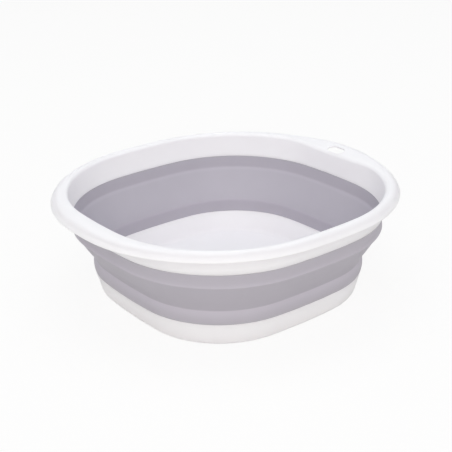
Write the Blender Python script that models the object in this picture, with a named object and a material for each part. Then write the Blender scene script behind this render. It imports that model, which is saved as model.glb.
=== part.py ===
"""Collapsible camp washbasin: a rigid rim and pan joined by a soft wall that folds inside out."""
import bmesh
import bpy
from math import cos, pi, sin, sqrt
from mathutils import Vector

# Overall sizes, in metres. Z points up and the basin stands on z = 0.
RIM_LENGTH = 0.380
RIM_WIDTH = 0.359
HEIGHT = 0.1232

# Wall thicknesses, and the gap between pieces that are moulded together
HARD_WALL = 0.0024
FLANGE_WALL = 0.0018
CUFF_WALL = 0.0024
WEB_WALL = 0.0018
GAP = 0.0003

# Rim: a flange that is wider on the two sides along Y, round a flared wall. It is widest along its slot,
# where its inner edge is straight, and it leans up and out there, fading to level at the reach along X.
RIM_DEPTH = 0.0293
NARROW_FLANGE = 0.0160
WIDE_FLANGE = 0.0250
NARROW_FLARE = 0.0040
WIDE_FLARE = 0.0055
SLOT_SIDE_FLANGE = 0.0300
SLOT_SIDE_EASE = 0.0040
SLOT_SIDE_SLOPE = 0.19
SLOT_SIDE_REACH = 0.0950
FLANGE_EDGE_RADIUS = 0.0070
FLANGE_LIP = 0.0020
FLANGE_INNER_RADIUS = 0.0025
FLANGE_UNDER_RADIUS = 0.0025
LIP_CHAMFER = 0.0006

# Heights of the bands between the rim and the pan
UPPER_CUFF_HEIGHT = 0.0152
LOWER_CUFF_HEIGHT = 0.0153
PAN_HEIGHT = 0.0280

# How far in each level lies: the cuff from the wall's top edge, and the pan's top edge from there
UPPER_WAIST_SET_IN = 0.0013
UPPER_HINGE_SET_IN = 0.0018
WEB_STEP = 0.0005
PAN_SET_IN = 0.0233
CUFF_EDGE = 0.0006

# Levels of the lower cuff and the foot, from the pan's top edge
LOWER_BEAD_OUT = 0.0017
LOWER_BEAD_RISE = 0.0050
LOWER_INSIDE_STEP = 0.0022
LOWER_HINGE_STEP = 0.0008
FOOT_STEP = 0.0143
BEAD_SIDE_SHARE = 0.75
SHOULDER_SHARE = 0.25

# Pan
PAN_EDGE_RADIUS = 0.0090
PAN_DRAFT = 0.258

# Tongues of the rim and the pan, moulded into the soft wall
TONGUE_THICKNESS = 0.0008
TONGUE_DEPTH = 0.0040

# Hanging slot through the flange, in the middle of its +Y side
SLOT_LENGTH = 0.0240
SLOT_WIDTH = 0.0106
SLOT_END_FLAT = 0.0010
SLOT_CLEARANCE = 0.0008
OVERRUN = 0.0030

# Plan: bowed sides, and corners as round as these shares of half the shorter side
SIDE_RADIUS = 0.560
FLANGE_CORNER_SHARE = 0.935
OPENING_CORNER_SHARE = 0.838
WALL_TOP_CORNER_SHARE = 0.794
FOOT_CORNER_SHARE = 0.688

# Mesh fineness
SIDE_STEPS = 3
CORNER_STEPS = 12
EDGE_STEPS = 5
INNER_EDGE_STEPS = 4
UNDERSIDE_STEPS = 2
SLOT_STEPS = 6

# Plan sizes that follow from the rim
OPENING_WIDTH = RIM_WIDTH - 2 * NARROW_FLANGE
OPENING_LENGTH = RIM_LENGTH - 2 * WIDE_FLANGE
WALL_TOP_WIDTH = OPENING_WIDTH - 2 * NARROW_FLARE + 2 * HARD_WALL
WALL_TOP_LENGTH = OPENING_LENGTH - 2 * WIDE_FLARE + 2 * HARD_WALL
FOOT_SET_IN = PAN_SET_IN + FOOT_STEP
FOOT_SIDE = min(WALL_TOP_WIDTH, WALL_TOP_LENGTH) - 2 * FOOT_SET_IN
FLANGE_CORNER_RADIUS = FLANGE_CORNER_SHARE * min(RIM_WIDTH, RIM_LENGTH) / 2
OPENING_CORNER_RADIUS = OPENING_CORNER_SHARE * min(OPENING_WIDTH, OPENING_LENGTH) / 2
WALL_TOP_CORNER_RADIUS = WALL_TOP_CORNER_SHARE * min(WALL_TOP_WIDTH, WALL_TOP_LENGTH) / 2
FOOT_CORNER_RADIUS = FOOT_CORNER_SHARE * FOOT_SIDE / 2
SLOT_SIDE_Y = RIM_LENGTH / 2 - SLOT_SIDE_FLANGE
SLOT_CENTRE_Y = SLOT_SIDE_Y + HARD_WALL + SLOT_CLEARANCE + SLOT_WIDTH / 2

# Heights at which one piece ends and the next begins
SOFT_TOP_Z = HEIGHT - RIM_DEPTH
UPPER_HINGE_Z = SOFT_TOP_Z - UPPER_CUFF_HEIGHT
LOWER_HINGE_Z = PAN_HEIGHT + LOWER_CUFF_HEIGHT

COLLECTION_NAME = "collapsible_washbasin"


def clear_scene():
    for old in list(bpy.data.objects):
        bpy.data.objects.remove(old, do_unlink=True)


def make_collection(name, hidden=False):
    collection = bpy.data.collections.new(name)
    bpy.context.scene.collection.children.link(collection)
    collection.hide_render = hidden
    return collection


def make_material(name, colour, roughness):
    material = bpy.data.materials.new(name)
    material.use_nodes = True
    shader = material.node_tree.nodes["Principled BSDF"]
    shader.inputs["Base Color"].default_value = (*colour, 1.0)
    shader.inputs["Roughness"].default_value = roughness
    shader.inputs["Metallic"].default_value = 0.0
    return material


def arc(centre, radius, start, end, steps):
    """Points of an arc, without its last one."""
    turns = [start + (end - start) * step / steps for step in range(steps)]
    return [centre + radius * Vector((cos(turn), sin(turn))) for turn in turns]


def outline(width, length, corner_radius, z):
    """A rectangle with bowed sides: side arcs and corner arcs that meet without a kink."""
    x_side = Vector((width / 2 - SIDE_RADIUS, 0))
    y_side = Vector((0, length / 2 - SIDE_RADIUS))
    between = y_side - x_side
    reach = SIDE_RADIUS - corner_radius
    out = Vector((-between.y, between.x)).normalized()
    if out.x < 0:
        out = -out
    corner = (x_side + y_side) / 2 + out * sqrt(reach ** 2 - (between.length / 2) ** 2)
    first = Vector((1, 0)).angle(corner - x_side)
    last = Vector((1, 0)).angle(corner - y_side)
    quarter = arc(x_side, SIDE_RADIUS, 0, first, SIDE_STEPS)
    quarter += arc(corner, corner_radius, first, last, CORNER_STEPS)
    quarter += arc(y_side, SIDE_RADIUS, last, pi / 2, SIDE_STEPS)
    top = Vector((0, length / 2))
    half = quarter + [top] + [Vector((-point.x, point.y)) for point in reversed(quarter[1:])]
    loop = half + [Vector((-point.x, -point.y)) for point in half]
    return [(point.x, point.y, z) for point in loop]


def wall_ring(set_in, z):
    """A level of the walls, set in from their top edge on every side."""
    share = set_in / FOOT_SET_IN
    corner_radius = WALL_TOP_CORNER_RADIUS + share * (FOOT_CORNER_RADIUS - WALL_TOP_CORNER_RADIUS)
    return outline(WALL_TOP_WIDTH - 2 * set_in, WALL_TOP_LENGTH - 2 * set_in, corner_radius, z)


def soft_limit(value, limit):
    """The value, held below the limit, with an easy turn where it meets it."""
    if value <= limit - SLOT_SIDE_EASE:
        return value
    over = min(value, limit + SLOT_SIDE_EASE)
    return limit - (limit + SLOT_SIDE_EASE - over) ** 2 / (4 * SLOT_SIDE_EASE)


def lean_slot_side(ring):
    """Leans the part of a ring that passes the slot, about the slot's middle."""
    leaned = []
    for x, y, z in ring:
        if y > 0 and abs(x) < SLOT_SIDE_REACH:
            fade = cos(pi / 2 * x / SLOT_SIDE_REACH) ** 2
            z += fade * SLOT_SIDE_SLOPE * (y - SLOT_CENTRE_Y)
        leaned.append((x, y, z))
    return leaned


def opening_ring(outset, z):
    """The rim's opening, made larger all round. Its side along the slot is straight."""
    ring = outline(OPENING_WIDTH + 2 * outset, OPENING_LENGTH + 2 * outset, OPENING_CORNER_RADIUS + outset, z)
    return lean_slot_side([(x, soft_limit(y, SLOT_SIDE_Y + outset), height) for x, y, height in ring])


def flange_ring(inset, z):
    """The flange's outer edge, made smaller all round."""
    ring = outline(RIM_WIDTH - 2 * inset, RIM_LENGTH - 2 * inset, FLANGE_CORNER_RADIUS - inset, z)
    return lean_slot_side(ring)


def loft(name, rings, material, collection, capped=False):
    """A body through a row of rings. It closes on its first ring, or has a cap at each end."""
    bm = bmesh.new()
    loops = [[bm.verts.new(point) for point in ring] for ring in rings]
    pairs = list(zip(loops, loops[1:]))
    if capped:
        bm.faces.new(loops[0])
        bm.faces.new(loops[-1])
    else:
        pairs.append((loops[-1], loops[0]))
    for lower, upper in pairs:
        for here in range(len(lower)):
            after = (here + 1) % len(lower)
            bm.faces.new((lower[here], lower[after], upper[after], upper[here]))
    bmesh.ops.recalc_face_normals(bm, faces=bm.faces)
    mesh = bpy.data.meshes.new(name)
    bm.to_mesh(mesh)
    bm.free()
    mesh.materials.append(material)
    mesh.shade_smooth()
    mesh.set_sharp_from_angle(angle=pi / 6)
    piece = bpy.data.objects.new(name, mesh)
    collection.objects.link(piece)
    return piece


def round_over(radius, steps):
    """Inset and drop of the points round a quarter circle, from its side to its top."""
    turns = [pi / 2 * step / steps for step in range(steps + 1)]
    return [(radius * (1 - cos(turn)), radius * (1 - sin(turn))) for turn in turns]


def tongue_sides(set_in, clearance):
    """How far in a tongue's two faces lie, in the middle of a wall whose outer face is set in."""
    middle = set_in + HARD_WALL / 2
    half = TONGUE_THICKNESS / 2 + clearance
    return middle - half, middle + half


def rim_tongue_lean():
    """How much further in the rim's tongue lies at its tip, so that it follows the cuff."""
    return UPPER_WAIST_SET_IN * TONGUE_DEPTH / (UPPER_CUFF_HEIGHT / 2)


def pan_shell(radius, floor_z):
    """Set-in and height of the points round the pan's bottom edge, from the floor to the wall."""
    turns = [(pi / 2 - PAN_DRAFT) * step / EDGE_STEPS for step in range(EDGE_STEPS + 1)]
    return [(FOOT_SET_IN - radius * sin(turn), floor_z + radius * (1 - cos(turn))) for turn in turns]


def make_base_pan(material, collection):
    """The pan: a flat floor, a rounded bottom edge and a drafted wall with a tongue on top."""
    tongue_out, tongue_in = tongue_sides(PAN_SET_IN, 0)
    rings = [wall_ring(set_in, z) for set_in, z in pan_shell(PAN_EDGE_RADIUS, 0)]
    rings.append(wall_ring(PAN_SET_IN, PAN_HEIGHT))
    rings.append(wall_ring(tongue_out, PAN_HEIGHT))
    rings.append(wall_ring(tongue_out, PAN_HEIGHT + TONGUE_DEPTH))
    rings.append(wall_ring(tongue_in, PAN_HEIGHT + TONGUE_DEPTH))
    rings.append(wall_ring(tongue_in, PAN_HEIGHT))
    rings.append(wall_ring(PAN_SET_IN + HARD_WALL, PAN_HEIGHT))
    inside = pan_shell(PAN_EDGE_RADIUS - HARD_WALL, HARD_WALL)
    rings += [wall_ring(set_in, z) for set_in, z in reversed(inside)]
    return loft("base_pan", rings, material, collection, capped=True)


def make_lower_cuff(material, collection):
    """The soft band bonded to the pan, up to the lower hinge, with a bead that stands out."""
    bottom = PAN_HEIGHT + GAP
    bead_z = PAN_HEIGHT + LOWER_BEAD_RISE
    bead_set_in = PAN_SET_IN - LOWER_BEAD_OUT
    hinge_set_in = PAN_SET_IN + LOWER_HINGE_STEP
    shoulder_set_in = bead_set_in + SHOULDER_SHARE * (hinge_set_in - bead_set_in)
    groove_out, groove_in = tongue_sides(PAN_SET_IN, GAP)
    groove_top = PAN_HEIGHT + TONGUE_DEPTH + GAP
    rings = [
        wall_ring(PAN_SET_IN, bottom),
        wall_ring(PAN_SET_IN - BEAD_SIDE_SHARE * LOWER_BEAD_OUT, (bottom + bead_z) / 2),
        wall_ring(bead_set_in, bead_z),
        wall_ring(shoulder_set_in, (bead_z + LOWER_HINGE_Z) / 2),
        wall_ring(hinge_set_in, LOWER_HINGE_Z - CUFF_EDGE),
        wall_ring(hinge_set_in + CUFF_EDGE, LOWER_HINGE_Z),
        wall_ring(hinge_set_in + CUFF_WALL - CUFF_EDGE, LOWER_HINGE_Z),
        wall_ring(hinge_set_in + CUFF_WALL, LOWER_HINGE_Z - CUFF_EDGE),
        wall_ring(PAN_SET_IN + LOWER_INSIDE_STEP, bead_z),
        wall_ring(PAN_SET_IN + HARD_WALL, bottom),
        wall_ring(groove_in, bottom),
        wall_ring(groove_in, groove_top),
        wall_ring(groove_out, groove_top),
        wall_ring(groove_out, bottom),
    ]
    return loft("lower_cuff", rings, material, collection)


def make_fold_web(material, collection):
    """The sloping band between the hinges, which turns inside out when the rim goes down."""
    bottom = LOWER_HINGE_Z + GAP
    bottom_set_in = PAN_SET_IN + LOWER_HINGE_STEP + WEB_STEP
    top_set_in = UPPER_HINGE_SET_IN + WEB_STEP
    middle = (bottom + UPPER_HINGE_Z) / 2
    middle_set_in = (bottom_set_in + top_set_in) / 2
    slope = (bottom_set_in - top_set_in) / (UPPER_HINGE_Z - bottom)
    level_wall = WEB_WALL * sqrt(1 + slope ** 2)
    rings = [
        wall_ring(bottom_set_in, bottom),
        wall_ring(middle_set_in, middle),
        wall_ring(top_set_in, UPPER_HINGE_Z),
        wall_ring(top_set_in + level_wall, UPPER_HINGE_Z),
        wall_ring(middle_set_in + level_wall, middle),
        wall_ring(bottom_set_in + level_wall, bottom),
    ]
    return loft("fold_web", rings, material, collection)


def make_upper_cuff(material, collection):
    """The soft band bonded to the rim, down to the upper hinge."""
    bottom = UPPER_HINGE_Z + GAP
    waist_z = SOFT_TOP_Z - UPPER_CUFF_HEIGHT / 2
    groove_out, groove_in = tongue_sides(0, GAP)
    groove_bottom = SOFT_TOP_Z - TONGUE_DEPTH
    lean = rim_tongue_lean()
    rings = [
        wall_ring(UPPER_HINGE_SET_IN + CUFF_EDGE, bottom),
        wall_ring(UPPER_HINGE_SET_IN, bottom + CUFF_EDGE),
        wall_ring(UPPER_WAIST_SET_IN, waist_z),
        wall_ring(0, SOFT_TOP_Z),
        wall_ring(groove_out, SOFT_TOP_Z),
        wall_ring(groove_out + lean, groove_bottom),
        wall_ring(groove_in + lean, groove_bottom),
        wall_ring(groove_in, SOFT_TOP_Z),
        wall_ring(CUFF_WALL, SOFT_TOP_Z),
        wall_ring(UPPER_WAIST_SET_IN + CUFF_WALL, waist_z),
        wall_ring(UPPER_HINGE_SET_IN + CUFF_WALL, bottom + CUFF_EDGE),
        wall_ring(UPPER_HINGE_SET_IN + CUFF_WALL - CUFF_EDGE, bottom),
    ]
    return loft("upper_cuff", rings, material, collection)


def make_slot_cutter(collection):
    """A block with its upright edges rounded over, along X."""
    bm = bmesh.new()
    bmesh.ops.create_cube(bm, size=1)
    bmesh.ops.scale(bm, verts=bm.verts, vec=(SLOT_LENGTH, SLOT_WIDTH, FLANGE_WALL + 2 * OVERRUN))
    upright = [edge for edge in bm.edges if edge.verts[0].co.z != edge.verts[1].co.z]
    bmesh.ops.bevel(
        bm, geom=upright, affect="EDGES", offset=(SLOT_WIDTH - SLOT_END_FLAT) / 2,
        offset_type="OFFSET", profile=0.5, segments=SLOT_STEPS)
    mesh = bpy.data.meshes.new("slot_cutter")
    bm.to_mesh(mesh)
    bm.free()
    cutter = bpy.data.objects.new("slot_cutter", mesh)
    cutter.location = (0, SLOT_CENTRE_Y, HEIGHT - FLANGE_WALL / 2)
    cutter.hide_render = True
    cutter.display_type = "WIRE"
    collection.objects.link(cutter)
    return cutter


def make_rim_frame(material, collection, cutters):
    """The rim: a tongue, an inner wall and a wide flange with a turned-down edge and a slot."""
    bottom = SOFT_TOP_Z + GAP
    underside = HEIGHT - FLANGE_WALL
    lip_bottom = HEIGHT - FLANGE_EDGE_RADIUS - FLANGE_LIP
    tongue_out, tongue_in = tongue_sides(0, 0)
    tongue_bottom = bottom - TONGUE_DEPTH
    lean = rim_tongue_lean()
    rings = [
        wall_ring(tongue_in + lean, tongue_bottom),
        wall_ring(tongue_out + lean, tongue_bottom),
        wall_ring(tongue_out, bottom),
        wall_ring(0, bottom),
    ]
    under = round_over(FLANGE_UNDER_RADIUS, UNDERSIDE_STEPS)
    rings += [opening_ring(HARD_WALL + inset, underside - drop) for inset, drop in under]
    lip_inside = round_over(FLANGE_EDGE_RADIUS - HARD_WALL, UNDERSIDE_STEPS)
    rings += [flange_ring(HARD_WALL + inset, underside - drop) for inset, drop in reversed(lip_inside)]
    rings.append(flange_ring(HARD_WALL, lip_bottom))
    rings.append(flange_ring(LIP_CHAMFER, lip_bottom))
    rings.append(flange_ring(0, lip_bottom + LIP_CHAMFER))
    outer_edge = round_over(FLANGE_EDGE_RADIUS, EDGE_STEPS)
    rings += [flange_ring(inset, HEIGHT - drop) for inset, drop in outer_edge]
    inner_edge = round_over(FLANGE_INNER_RADIUS, INNER_EDGE_STEPS)
    rings += [opening_ring(inset, HEIGHT - drop) for inset, drop in reversed(inner_edge)]
    rings.append(wall_ring(HARD_WALL, bottom))
    rings.append(wall_ring(tongue_in, bottom))
    rim = loft("rim_frame", rings, material, collection)
    cut = rim.modifiers.new("hanging_slot", "BOOLEAN")
    cut.operation = "DIFFERENCE"
    cut.solver = "EXACT"
    cut.object = make_slot_cutter(cutters)
    return rim


def main():
    clear_scene()
    parts = make_collection(COLLECTION_NAME)
    cutters = make_collection("cutters", hidden=True)
    white = make_material("white_polypropylene", (0.86, 0.84, 0.87), 0.38)
    grey = make_material("grey_soft_elastomer", (0.45, 0.42, 0.47), 0.55)
    make_base_pan(white, parts)
    make_lower_cuff(grey, parts)
    make_fold_web(grey, parts)
    make_upper_cuff(grey, parts)
    make_rim_frame(white, parts, cutters)


main()
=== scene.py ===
"""Collapsible camp washbasin: a rigid white rim and pan with a soft grey wall, which on the real basin
folds inside out.
"""
from math import cos, exp, pi, radians, sin, sqrt

import bmesh
import bpy
from mathutils import Matrix, Vector


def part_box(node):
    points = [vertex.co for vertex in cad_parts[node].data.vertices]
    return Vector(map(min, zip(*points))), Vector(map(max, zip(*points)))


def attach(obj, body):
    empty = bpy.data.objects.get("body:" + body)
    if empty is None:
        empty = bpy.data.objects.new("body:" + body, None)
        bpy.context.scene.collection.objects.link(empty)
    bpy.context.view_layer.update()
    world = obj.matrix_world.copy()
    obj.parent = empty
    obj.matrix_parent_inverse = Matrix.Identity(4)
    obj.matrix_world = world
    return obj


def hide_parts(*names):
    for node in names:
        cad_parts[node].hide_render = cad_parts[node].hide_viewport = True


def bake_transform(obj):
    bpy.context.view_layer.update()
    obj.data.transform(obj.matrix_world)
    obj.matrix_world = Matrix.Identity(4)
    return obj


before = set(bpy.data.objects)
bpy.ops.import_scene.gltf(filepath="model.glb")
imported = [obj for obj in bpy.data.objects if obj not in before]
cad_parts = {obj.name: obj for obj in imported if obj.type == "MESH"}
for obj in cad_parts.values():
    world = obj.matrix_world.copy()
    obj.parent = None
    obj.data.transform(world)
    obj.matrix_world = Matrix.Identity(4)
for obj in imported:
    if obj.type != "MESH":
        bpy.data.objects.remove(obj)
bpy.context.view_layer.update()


def box_corners(node):
    """The lowest and highest corners of a solid's box, to 0.01 mm."""
    return [[round(value, 5) for value in corner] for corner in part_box(node)]


# Sizes read from the solids, in metres. The solids keep this gap between pieces that are bonded together.
SOLIDS_GAP = 0.0003
RIM_WIDTH, RIM_LENGTH = [2 * side for side in box_corners("rim_frame")[1][:2]]
SOFT_TOP_Z = box_corners("upper_cuff")[1][2]
UPPER_FOLD_Z = box_corners("fold_web")[1][2]
LOWER_FOLD_Z = box_corners("fold_web")[0][2] - SOLIDS_GAP
PAN_TOP_Z = box_corners("lower_cuff")[0][2] - SOLIDS_GAP

# Walls, and how much the edges of the hard mouldings are rounded
HARD_WALL, FLANGE_WALL, EDGE_BREAK = 0.0024, 0.0018, 0.0004

# Rim: a flange that is wider on the two sides along Y. On the side with the slot it is widest, its inner
# edge is straight, and it leans up and out, fading to level at the reach along X.
HEIGHT = 0.1232
NARROW_FLANGE, WIDE_FLANGE, SLOT_SIDE_FLANGE = 0.0160, 0.0250, 0.0300
FLANGE_CORNER, OPENING_CORNER = 0.1678, 0.1370
SLOT_SIDE_EASE, SLOT_SIDE_SLOPE, SLOT_SIDE_REACH = 0.0040, 0.19, 0.0950

# Section of the flange: its lip, its crown and the rounds under and inside it
LIP_HEIGHT, LIP_ROUND = 0.0090, 0.0009
CROWN_TURN, CROWN_STEPS, CROWN_FALL = radians(72), 14, 0.0004
INNER_ROUND, INNER_ROUND_STEPS = 0.0042, 10
WALL_UNDER_ROUND, LIP_UNDER_ROUND, UNDER_ROUND_STEPS = 0.0025, 0.0046, 6

# Hanging slot, a little wider than in the solid, because the flange's thickness hides part of it when it
# is seen at a slant
SLOT_LENGTH, SLOT_WIDTH, SLOT_Y = 0.0240, 0.0124, 0.1688
SLOT_EDGE_ROUND, SLOT_END_STEPS, OVERRUN = 0.0008, 14, 0.0030

# Wall: its plan at the top, and how far in the pan's top edge and the flat foot lie from there
WALL_SIDE, WALL_TOP_CORNER = 0.3238, 0.1286
PAN_SET_IN, FOOT_SET_IN, FOOT_CORNER = 0.0233, 0.0376, 0.0855
PAN_EDGE_RADIUS, PAN_DRAFT = 0.0090, 0.258
PAN_EDGE_STEPS, PAN_INNER_STEPS = 12, 10

# Soft skin: the step between levels, then the light painted onto it, from 0 to 1: the bands painted
# lighter than the web, as they face the light more, painted highlights beside the two folds, and how far
# each highlight fades out.
# The upper highlight's brightest line is the outer ridge of its fold, a little above the fold's height.
SOFT_STEP = 0.0009
UPPER_BAND_PAINTED_LIGHT, UPPER_FOLD_HIGHLIGHT, UPPER_FOLD_FADE, UPPER_RIDGE_RISE = 0.30, 0.50, 0.0025, 0.0012
LOWER_BAND_PAINTED_LIGHT, LOWER_FOLD_HIGHLIGHT, LOWER_FOLD_FADE = 0.35, 0.75, 0.0070
CREASE_HIGHLIGHT, CREASE_FADE = 0.30, 0.0018

# Plan: the radius of the bowed sides, and the points in each quarter
SIDE_RADIUS = 0.560
SIDE_STEPS, CORNER_STEPS = 10, 34

# Light, and the floor's share of plain white. The rest of the floor is lit, and so keeps the shadow.
WORLD_LIGHT, FLOOR_WHITE_SHARE = 0.43, 0.88
FLOOR_SIDE, LAMP_AIM_Z = 8, 0.06

# The photograph's view: angles in radians, and the camera's place by its distance from a point on the
# basin's axis, with a small step to the left and up
CAMERA_AZIMUTH, CAMERA_ELEVATION, CAMERA_ROLL = 0.91225, 0.40850, -0.02184
CAMERA_AIM_Z, CAMERA_DISTANCE, CAMERA_LEFT, CAMERA_UP = 0.04764, 1.13060, 0.000764, 0.021292
CAMERA_LENS, CAMERA_SENSOR = 79.216, 36


# Plans and levels


def arc(centre, radius, start, end, steps):
    """Points along an arc, without its end."""
    turns = [start + (end - start) * step / steps for step in range(steps)]
    return [centre + radius * Vector((cos(turn), sin(turn))) for turn in turns]


def outline(width, length, corner_radius):
    """Plan of a level: a rectangle with bowed sides, its arcs meeting without a kink."""
    x_side = Vector((width / 2 - SIDE_RADIUS, 0))
    y_side = Vector((0, length / 2 - SIDE_RADIUS))
    between = y_side - x_side
    reach = SIDE_RADIUS - corner_radius
    out = Vector((-between.y, between.x)).normalized()
    if out.x < 0:
        out = -out
    corner = (x_side + y_side) / 2 + out * sqrt(reach ** 2 - (between.length / 2) ** 2)
    first = Vector((1, 0)).angle(corner - x_side)
    last = Vector((1, 0)).angle(corner - y_side)
    quarter = arc(x_side, SIDE_RADIUS, 0, first, SIDE_STEPS)
    quarter += arc(corner, corner_radius, first, last, CORNER_STEPS)
    quarter += arc(y_side, SIDE_RADIUS, last, pi / 2, SIDE_STEPS)
    top = Vector((0, length / 2))
    half = quarter + [top] + [Vector((-point.x, point.y)) for point in reversed(quarter[1:])]
    return half + [-point for point in half]


def wall_plan(set_in):
    """The outer wall at a set-in from its top edge, with corners that tighten towards the foot."""
    share = set_in / FOOT_SET_IN
    corner = WALL_TOP_CORNER + share * (FOOT_CORNER - WALL_TOP_CORNER)
    return outline(WALL_SIDE - 2 * set_in, WALL_SIDE - 2 * set_in, corner)


def soft_limit(value, limit):
    """The value, held below the limit, with an easy turn where it meets it."""
    if value <= limit - SLOT_SIDE_EASE:
        return value
    over = min(value, limit + SLOT_SIDE_EASE)
    return limit - (limit + SLOT_SIDE_EASE - over) ** 2 / (4 * SLOT_SIDE_EASE)


def opening_plan(outset):
    """The rim's opening, larger all round by the outset, and straight along the slot."""
    width = RIM_WIDTH - 2 * NARROW_FLANGE + 2 * outset
    length = RIM_LENGTH - 2 * WIDE_FLANGE + 2 * outset
    straight_y = RIM_LENGTH / 2 - SLOT_SIDE_FLANGE + outset
    plan = outline(width, length, OPENING_CORNER + outset)
    return [Vector((point.x, soft_limit(point.y, straight_y))) for point in plan]


def flange_plan(inset):
    """The rim's outer edge, smaller all round by the inset."""
    return outline(RIM_WIDTH - 2 * inset, RIM_LENGTH - 2 * inset, FLANGE_CORNER - inset)


def between_plans(first, second, share):
    """The plan that lies at a share of the way from the first to the second."""
    return [a.lerp(b, share) for a, b in zip(first, second)]


def between_levels(first, second):
    """Two levels that keep a tall stretch of wall in even faces."""
    return [between_plans(first, second, share) for share in (0.33, 0.66)]


def level(plan, z):
    """A plan's points at a height."""
    return [Vector((point.x, point.y, z)) for point in plan]


def flange_level(plan, z):
    """A level of the flange, which leans up and out round the slot and is level elsewhere."""
    points = level(plan, z)
    for point in points:
        if point.y > 0 and abs(point.x) < SLOT_SIDE_REACH:
            fade = cos(pi / 2 * point.x / SLOT_SIDE_REACH) ** 2
            point.z += fade * SLOT_SIDE_SLOPE * (point.y - SLOT_Y)
    return points


def quarter_round(radius, steps):
    """Insets and drops along a quarter round, from its wall to its top."""
    turns = [pi / 2 * step / steps for step in range(steps + 1)]
    return [(radius * (1 - cos(turn)), radius * (1 - sin(turn))) for turn in turns]


# Meshes


def new_piece(name, bm):
    """A piece of the scene from a finished bmesh, which is freed."""
    mesh = bpy.data.meshes.new(name)
    bm.to_mesh(mesh)
    bm.free()
    piece = bpy.data.objects.new(name, mesh)
    bpy.context.scene.collection.objects.link(piece)
    return piece


def skin(name, levels, closed=True):
    """A smooth piece through a row of levels. It closes on its first level, or ends in flat caps."""
    bm = bmesh.new()
    loops = [[bm.verts.new(point) for point in points] for points in levels]
    pairs = list(zip(loops, loops[1:]))
    if closed:
        pairs.append((loops[-1], loops[0]))
    else:
        for loop in (loops[0], loops[-1]):
            centre = bm.verts.new((0, 0, loop[0].co.z))
            for here in range(len(loop)):
                bm.faces.new((loop[here], loop[(here + 1) % len(loop)], centre))
    for lower, upper in pairs:
        for here in range(len(lower)):
            after = (here + 1) % len(lower)
            bm.faces.new((lower[here], lower[after], upper[after], upper[here]))
    bmesh.ops.recalc_face_normals(bm, faces=bm.faces)
    piece = new_piece(name, bm)
    piece.data.shade_smooth()
    return piece


def smooth_profile(points, step):
    """A curve through section points, every step metres: Catmull-Rom, so it keeps each point."""
    ends = [points[0] * 2 - points[1]] + points + [points[-1] * 2 - points[-2]]
    made = []
    for before, here, after, beyond in zip(ends, ends[1:], ends[2:], ends[3:]):
        parts = max(1, round((after - here).length / step))
        for part in range(parts):
            t = part / parts
            made.append(0.5 * (2 * here + t * (after - before)
                               + t ** 2 * (2 * before - 5 * here + 4 * after - beyond)
                               + t ** 3 * (3 * here - before - 3 * after + beyond)))
    return made + [points[-1]]


# Rim moulding


def flange_underside():
    """Levels under the flange, from the wall's round out to the inside of the lip."""
    underside = HEIGHT - FLANGE_WALL
    under = [flange_level(opening_plan(HARD_WALL + inset), underside - drop)
             for inset, drop in quarter_round(WALL_UNDER_ROUND, UNDER_ROUND_STEPS)]
    under += [flange_level(flange_plan(HARD_WALL + inset), underside - drop)
              for inset, drop in reversed(quarter_round(LIP_UNDER_ROUND, UNDER_ROUND_STEPS))]
    return under


def flange_top():
    """Levels over the flange: the lip's edge, the crown, a gentle fall and the round into the opening."""
    lip_z = HEIGHT - LIP_HEIGHT
    levels = [flange_level(flange_plan(inset), lip_z + rise) for inset, rise in (
        (HARD_WALL, EDGE_BREAK), (HARD_WALL - EDGE_BREAK, 0),
        (LIP_ROUND, 0), (LIP_ROUND / 3, LIP_ROUND / 3), (0, LIP_ROUND))]
    # The crown is an arc off the lip that starts short of upright
    crown_radius = (LIP_HEIGHT - LIP_ROUND) / (1 - cos(CROWN_TURN))
    crown_width = crown_radius * sin(CROWN_TURN)
    for step in range(CROWN_STEPS, -1, -1):
        turn = CROWN_TURN * step / CROWN_STEPS
        levels.append(flange_level(flange_plan(crown_width - crown_radius * sin(turn)),
                                   HEIGHT - crown_radius * (1 - cos(turn))))
    for share in (0.25, 0.5, 0.75):
        between = between_plans(flange_plan(crown_width), opening_plan(INNER_ROUND), share)
        levels.append(flange_level(between, HEIGHT - CROWN_FALL * share ** 2))
    levels += [flange_level(opening_plan(inset), HEIGHT - CROWN_FALL - drop)
               for inset, drop in reversed(quarter_round(INNER_ROUND, INNER_ROUND_STEPS))]
    return levels


def make_rim():
    """The rim: an outer wall up from the soft band, the flange with its lip, and the inner wall down."""
    wall_foot = [level(wall_plan(EDGE_BREAK), SOFT_TOP_Z), level(wall_plan(0), SOFT_TOP_Z + EDGE_BREAK)]
    wall_end = [level(wall_plan(HARD_WALL), SOFT_TOP_Z + EDGE_BREAK),
                level(wall_plan(HARD_WALL - EDGE_BREAK), SOFT_TOP_Z)]
    under, top = flange_underside(), flange_top()
    levels = wall_foot + between_levels(wall_foot[-1], under[0]) + under + top
    levels += between_levels(top[-1], wall_end[0]) + wall_end
    rim = skin("rim_moulding", levels)
    cut_slot(rim)
    soften_slot_edges(rim)
    return rim


def make_slot_block():
    """The slot's shape as a block with round ends, which runs past both faces of the leaning flange."""
    radius = SLOT_WIDTH / 2
    end = SLOT_LENGTH / 2 - radius
    right = arc(Vector((end, SLOT_Y)), radius, -pi / 2, pi / 2, SLOT_END_STEPS)
    right.append(Vector((end, SLOT_Y + radius)))
    left = arc(Vector((-end, SLOT_Y)), radius, pi / 2, 3 * pi / 2, SLOT_END_STEPS)
    left.append(Vector((-end, SLOT_Y - radius)))
    bm = bmesh.new()
    face = bm.faces.new([bm.verts.new((point.x, point.y, HEIGHT + OVERRUN)) for point in right + left])
    grown = bmesh.ops.extrude_face_region(bm, geom=[face])
    lower = [item for item in grown["geom"] if isinstance(item, bmesh.types.BMVert)]
    bmesh.ops.translate(bm, verts=lower, vec=(0, 0, -(FLANGE_WALL + 2 * OVERRUN)))
    bmesh.ops.recalc_face_normals(bm, faces=bm.faces)
    return new_piece("slot_block", bm)


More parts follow.
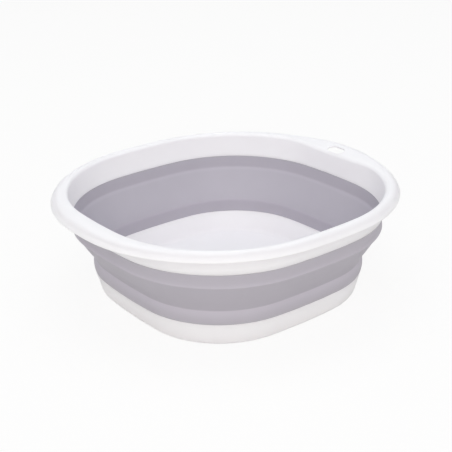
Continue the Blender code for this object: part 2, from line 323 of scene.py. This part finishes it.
def cut_slot(rim):
    """Cuts the hanging slot through the flange, and keeps the cut mesh."""
    block = make_slot_block()
    cut = rim.modifiers.new("hanging_slot", "BOOLEAN")
    cut.operation = "DIFFERENCE"
    cut.solver = "EXACT"
    cut.object = block
    bpy.context.view_layer.update()
    cut_mesh = bpy.data.meshes.new_from_object(rim.evaluated_get(bpy.context.evaluated_depsgraph_get()))
    rim.modifiers.clear()
    rim.data = cut_mesh
    bpy.data.objects.remove(block, do_unlink=True)


def soften_slot_edges(rim):
    """Rounds the slot's upper and lower edges, so that little of its wall stays flat."""
    margin, sharp = 0.0005, radians(50)
    bm = bmesh.new()
    bm.from_mesh(rim.data)
    edges = []
    for edge in bm.edges:
        middle = (edge.verts[0].co + edge.verts[1].co) / 2
        along = abs(middle.x) < SLOT_LENGTH / 2 + margin
        across = abs(middle.y - SLOT_Y) < SLOT_WIDTH / 2 + margin
        if along and across and len(edge.link_faces) == 2 and edge.calc_face_angle(0) > sharp:
            edges.append(edge)
    bmesh.ops.bevel(bm, geom=edges, affect="EDGES", offset=SLOT_EDGE_ROUND, offset_type="OFFSET",
                    profile=0.5, segments=3, clamp_overlap=True)
    bm.to_mesh(rim.data)
    bm.free()
    rim.data.shade_smooth()
    rim.data.set_sharp_from_angle(angle=radians(40))


# Pan moulding


def pan_edge(radius, floor_z, steps):
    """Levels from the flat foot round to the slope of the pan's wall."""
    turns = [(pi / 2 - PAN_DRAFT) * step / steps for step in range(steps + 1)]
    return [level(wall_plan(FOOT_SET_IN - radius * sin(turn)), floor_z + radius * (1 - cos(turn)))
            for turn in turns]


def make_pan():
    """The pan: a flat floor with a rounded edge, and a wall up to the soft band."""
    floor_insets = (0.05, 0.01)
    levels = [level(wall_plan(FOOT_SET_IN + inset), 0) for inset in floor_insets]
    levels += pan_edge(PAN_EDGE_RADIUS, 0, PAN_EDGE_STEPS)
    for set_in, z in ((0, PAN_TOP_Z - EDGE_BREAK), (EDGE_BREAK, PAN_TOP_Z),
                      (HARD_WALL - EDGE_BREAK, PAN_TOP_Z), (HARD_WALL, PAN_TOP_Z - EDGE_BREAK)):
        levels.append(level(wall_plan(PAN_SET_IN + set_in), z))
    levels += reversed(pan_edge(PAN_EDGE_RADIUS - HARD_WALL, HARD_WALL, PAN_INNER_STEPS))
    levels += [level(wall_plan(FOOT_SET_IN + inset), HARD_WALL) for inset in reversed(floor_insets)]
    return skin("pan_moulding", levels, closed=False)


# Soft wall


def section(start_z, points):
    """Points of the wall's section, each a set-in from the wall's top edge and a rise over the start."""
    return [Vector((set_in, start_z + rise)) for set_in, rise in points]


def outside_section():
    """Up the outside: a band with a shallow bulge, the nearly straight web, and a band with a waist."""
    lower_band = section(PAN_TOP_Z, [
        (PAN_SET_IN + 0.0002, -0.0002), (PAN_SET_IN, 0.0002), (0.0227, 0.0020), (0.0224, 0.0045),
        (0.0224, 0.0075), (0.0227, 0.0105), (0.0232, 0.0130), (0.0238, 0.0148)])
    web = section(LOWER_FOLD_Z, [
        (0.0239, 0.0008), (0.0190, 0.0096), (0.0134, 0.0178), (0.0078, 0.0266), (0.0036, 0.0330)])
    upper_band = section(UPPER_FOLD_Z, [
        (0.0019, -0.0006), (0.0010, 0.0005), (0.0011, 0.0017), (0.0017, 0.0039), (0.0018, 0.0073),
        (0.0008, 0.0133), (0, 0.0150), (0.0002, 0.0153)])
    return lower_band + web + upper_band


def inside_section():
    """Down the inside, a wall's thickness in, with softer turns at the two folds."""
    upper_band = section(UPPER_FOLD_Z, [
        (0.0022, 0.0154), (0.0024, 0.0151), (0.0029, 0.0113), (0.0036, 0.0063), (0.0040, 0.0025),
        (0.0045, 0.0010)])
    web = section(LOWER_FOLD_Z, [
        (0.0063, 0.0333), (0.0099, 0.0275), (0.0155, 0.0187), (0.0211, 0.0099), (0.0252, 0.0029),
        (0.0262, 0.0003)])
    lower_band = section(PAN_TOP_Z, [
        (0.0263, 0.0138), (0.0260, 0.0112), (0.0256, 0.0060), (0.0257, 0.0020),
        (PAN_SET_IN + HARD_WALL, 0.0001), (PAN_SET_IN + HARD_WALL - 0.0002, -0.0002)])
    return upper_band + web + lower_band


def make_soft_wall():
    """One soft moulding from pan to rim: the lower band, the fold web and the upper band."""
    outside, inside = [smooth_profile(side, SOFT_STEP) for side in (outside_section(), inside_section())]
    whole = outside + inside
    wall = skin("soft_wall", [level(wall_plan(point.x), point.y) for point in whole])
    # Light painted onto the skin's colour: lighter bands and painted highlights beside the folds
    paint_light_marks(wall, whole, len(outside))
    return wall


def hump(distance, width):
    """1 at a fold, and less with the distance from it."""
    return exp(-(distance / width) ** 2)


def paint_light_marks(wall, whole, outside_count):
    """Painted light on the skin: the thick bands painted lighter than the thin web, which faces down, and
    painted highlights beside the two folds.
    """
    painted_light_mark = []
    for number, point in enumerate(whole):
        above, below = point.y - UPPER_FOLD_Z, LOWER_FOLD_Z - point.y
        painted_light = 0.0
        if number < outside_count and above > 0:
            painted_light = UPPER_BAND_PAINTED_LIGHT + UPPER_FOLD_HIGHLIGHT * hump(above - UPPER_RIDGE_RISE, UPPER_FOLD_FADE)
        elif number < outside_count and below > 0:
            painted_light = LOWER_BAND_PAINTED_LIGHT + LOWER_FOLD_HIGHLIGHT * hump(below, LOWER_FOLD_FADE)
        elif number >= outside_count:
            painted_light = CREASE_HIGHLIGHT * (hump(above, CREASE_FADE) + hump(below, CREASE_FADE))
        painted_light_mark.append(painted_light)
    around = len(wall.data.vertices) // len(whole)
    marks = wall.data.attributes.new("painted_light_mark", "FLOAT", "POINT")
    for number, mark in enumerate(marks.data):
        mark.value = painted_light_mark[number // around]


# Materials


def linear(code):
    """An sRGB hex colour as the linear values that Blender takes."""
    parts = [int(code[place:place + 2], 16) / 255 for place in (1, 3, 5)]
    return (*[part / 12.92 if part <= 0.04045 else ((part + 0.055) / 1.055) ** 2.4 for part in parts], 1)


def add_node(tree, kind, settings=None, values=None, links=None):
    """A node with its properties, its input values and what feeds its inputs."""
    node = tree.nodes.new(kind)
    for key, value in (settings or {}).items():
        setattr(node, key, value)
    for key, value in (values or {}).items():
        node.inputs[key].default_value = value
    for key, source in (links or {}).items():
        tree.links.new(source, node.inputs[key])
    return node


def new_material(name):
    """A material with its node tree and its shader."""
    material = bpy.data.materials.new(name)
    material.use_nodes = True
    tree = material.node_tree
    return material, tree, tree.nodes["Principled BSDF"]


def make_white_polypropylene():
    """Injection-moulded polypropylene: pale, satin, with a fine mould grain and faint uneven gloss."""
    material, tree, shader = new_material("white_polypropylene")
    place = add_node(tree, "ShaderNodeTexCoord").outputs["Object"]
    # Uneven gloss from handling and from the mould, in patches of about 30 mm
    patches = add_node(tree, "ShaderNodeTexNoise", links={"Vector": place},
                       values={"Scale": 1 / 0.030, "Detail": 4, "Roughness": 0.55})
    gloss = add_node(tree, "ShaderNodeMapRange", values={"To Min": 0.48, "To Max": 0.58},
                     links={"Value": patches.outputs["Fac"]})
    tone = add_node(tree, "ShaderNodeMix", {"data_type": "RGBA"},
                    {"A": linear("#FAF6FB"), "B": linear("#F7F3F8")}, {"Factor": patches.outputs["Fac"]})
    # Spark-eroded grain is about 0.1 mm wide. It is drawn at 0.7 mm, so that it shows.
    grain = add_node(tree, "ShaderNodeTexNoise", values={"Scale": 1 / 0.0007, "Detail": 2},
                     links={"Vector": place})
    bump = add_node(tree, "ShaderNodeBump", values={"Strength": 0.25, "Distance": 0.00004},
                    links={"Height": grain.outputs["Fac"]})
    tree.links.new(tone.outputs["Result"], shader.inputs["Base Color"])
    tree.links.new(gloss.outputs["Result"], shader.inputs["Roughness"])
    tree.links.new(bump.outputs["Normal"], shader.inputs["Normal"])
    shader.inputs["IOR"].default_value = 1.49
    # Light spreads about 4.5 mm through the plastic, which evens the tones of the lip and the inner wall
    shader.inputs["Subsurface Weight"].default_value = 0.8
    shader.inputs["Subsurface Radius"].default_value = (1.0, 1.0, 1.0)
    shader.inputs["Subsurface Scale"].default_value = 0.0045
    return material


def make_grey_elastomer():
    """Moulded thermoplastic elastomer: matt, with a faint dry bloom, and painted light: lighter bands and
    painted highlights beside its folds.
    """
    material, tree, shader = new_material("grey_elastomer")
    place = add_node(tree, "ShaderNodeTexCoord").outputs["Object"]
    # Faint cloudiness of the colour and the gloss, in patches of about 25 mm
    patches = add_node(tree, "ShaderNodeTexNoise", links={"Vector": place},
                       values={"Scale": 1 / 0.025, "Detail": 5, "Roughness": 0.6})
    tone = add_node(tree, "ShaderNodeMix", {"data_type": "RGBA"},
                    {"A": linear("#B5B1BA"), "B": linear("#B1ADB6")}, {"Factor": patches.outputs["Fac"]})
    # Painted light: the grey is mixed towards a paler grey on the bands, and most in painted highlights
    # beside the folds
    painted_light_mark = add_node(tree, "ShaderNodeAttribute", {"attribute_name": "painted_light_mark"})
    painted_light = add_node(tree, "ShaderNodeMix", {"data_type": "RGBA", "clamp_factor": True},
                    {"B": linear("#C4BFC9")},
                    {"Factor": painted_light_mark.outputs["Fac"], "A": tone.outputs["Result"]})
    gloss = add_node(tree, "ShaderNodeMapRange", values={"To Min": 0.55, "To Max": 0.66},
                     links={"Value": patches.outputs["Fac"]})
    # The matt mould texture is about 0.15 mm wide. It is drawn at 0.9 mm, so that it shows.
    grain = add_node(tree, "ShaderNodeTexNoise", values={"Scale": 1 / 0.0009, "Detail": 3},
                     links={"Vector": place})
    bump = add_node(tree, "ShaderNodeBump", values={"Strength": 0.35, "Distance": 0.00006},
                    links={"Height": grain.outputs["Fac"]})
    tree.links.new(painted_light.outputs["Result"], shader.inputs["Base Color"])
    tree.links.new(gloss.outputs["Result"], shader.inputs["Roughness"])
    tree.links.new(bump.outputs["Normal"], shader.inputs["Normal"])
    shader.inputs["IOR"].default_value = 1.50
    shader.inputs["Sheen Weight"].default_value = 0.03
    shader.inputs["Sheen Roughness"].default_value = 0.5
    return material


# Floor, light and camera


def sees_white(tree):
    """1 for rays from the camera, a glossy face or a clear piece, which see the background as white."""
    path = add_node(tree, "ShaderNodeLightPath")
    bounced = add_node(tree, "ShaderNodeMath", {"operation": "MAXIMUM"}, links={
        0: path.outputs["Is Glossy Ray"], 1: path.outputs["Is Transmission Ray"]})
    either = add_node(tree, "ShaderNodeMath", {"operation": "MAXIMUM"}, links={
        0: path.outputs["Is Camera Ray"], 1: bounced.outputs[0]})
    return either.outputs[0]


def make_floor():
    """A pale matt floor, mostly plain white to the camera, that still takes the basin's shadow."""
    bpy.ops.mesh.primitive_plane_add(size=FLOOR_SIDE, location=(0, 0, 0))
    floor = bpy.context.object
    floor.name = "floor"
    material, tree, shader = new_material("pale_floor")
    tree.nodes.remove(shader)
    share = add_node(tree, "ShaderNodeMath", {"operation": "MULTIPLY"}, {1: FLOOR_WHITE_SHARE},
                     {0: sees_white(tree)})
    matt = add_node(tree, "ShaderNodeBsdfDiffuse", values={"Color": linear("#F5F3F0")})
    white_glow = add_node(tree, "ShaderNodeEmission", values={"Color": linear("#FFFFFF"), "Strength": 1.0})
    both = add_node(tree, "ShaderNodeMixShader", links={
        0: share.outputs[0], 1: matt.outputs[0], 2: white_glow.outputs[0]})
    tree.links.new(both.outputs[0], tree.nodes["Material Output"].inputs["Surface"])
    floor.data.materials.append(material)


def make_world():
    """A dim, even sky light, which the camera sees as white."""
    world = bpy.data.worlds.new("studio")
    bpy.context.scene.world = world
    world.use_nodes = True
    tree = world.node_tree
    strength = add_node(tree, "ShaderNodeMapRange", values={"To Min": WORLD_LIGHT, "To Max": 1.0},
                        links={"Value": sees_white(tree)})
    sky = tree.nodes["Background"]
    sky.inputs["Color"].default_value = linear("#FAFCFF")
    tree.links.new(strength.outputs["Result"], sky.inputs["Strength"])


def make_lamp(name, place, size, power, colour):
    """A soft square lamp that faces the basin."""
    data = bpy.data.lights.new(name, "AREA")
    data.size = size
    data.energy = power
    data.color = linear(colour)[:3]
    lamp = bpy.data.objects.new(name, data)
    lamp.location = place
    lamp.rotation_mode = "QUATERNION"
    lamp.rotation_quaternion = (Vector(place) - Vector((0, 0, LAMP_AIM_Z))).to_track_quat("Z", "Y")
    bpy.context.scene.collection.objects.link(lamp)


def make_camera():
    """The photograph's view, in its square frame."""
    side = Vector((cos(CAMERA_AZIMUTH), sin(CAMERA_AZIMUTH), 0))
    reach = cos(CAMERA_ELEVATION)
    back = Vector((sin(CAMERA_AZIMUTH) * reach, -cos(CAMERA_AZIMUTH) * reach, sin(CAMERA_ELEVATION)))
    up = back.cross(side)
    data = bpy.data.cameras.new("camera")
    data.lens = CAMERA_LENS
    data.sensor_width = CAMERA_SENSOR
    camera = bpy.data.objects.new("camera", data)
    turn = Matrix((side, up, back)).transposed() @ Matrix.Rotation(CAMERA_ROLL, 3, "Z")
    camera.rotation_mode = "QUATERNION"
    camera.rotation_quaternion = turn.to_quaternion()
    aim = Vector((0, 0, CAMERA_AIM_Z))
    camera.location = aim + back * CAMERA_DISTANCE - side * CAMERA_LEFT + up * CAMERA_UP
    bpy.context.scene.collection.objects.link(camera)
    bpy.context.scene.camera = camera


# The basin

white = make_white_polypropylene()
grey = make_grey_elastomer()
rim = make_rim()
pan = make_pan()
wall = make_soft_wall()
for piece, material, slot in (
        (rim, white, "white_plastic"), (pan, white, "white_plastic"), (wall, grey, "grey_rubber")):
    piece.data.materials.clear()
    piece.data.materials.append(material)
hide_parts("rim_frame")
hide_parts("base_pan")
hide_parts("upper_cuff", "fold_web", "lower_cuff")
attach(rim, "rim")
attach(pan, "base")
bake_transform(wall)

# The studio

make_floor()
make_world()
make_lamp("overhead_light", place=(0.0, 0.0, 2.9), size=2.9, power=38, colour="#F5FAFF")
make_lamp("left_light", place=(-2.0, -2.3, 2.7), size=2.2, power=10, colour="#FFFBF5")
make_lamp("right_light", place=(2.0, 2.5, 2.7), size=2.2, power=8, colour="#FFFBF5")
make_lamp("front_light", place=(3.1, -2.4, 2.1), size=2.2, power=68, colour="#FFFBF5")
make_camera()
bpy.context.scene.view_settings.view_transform = "Standard"
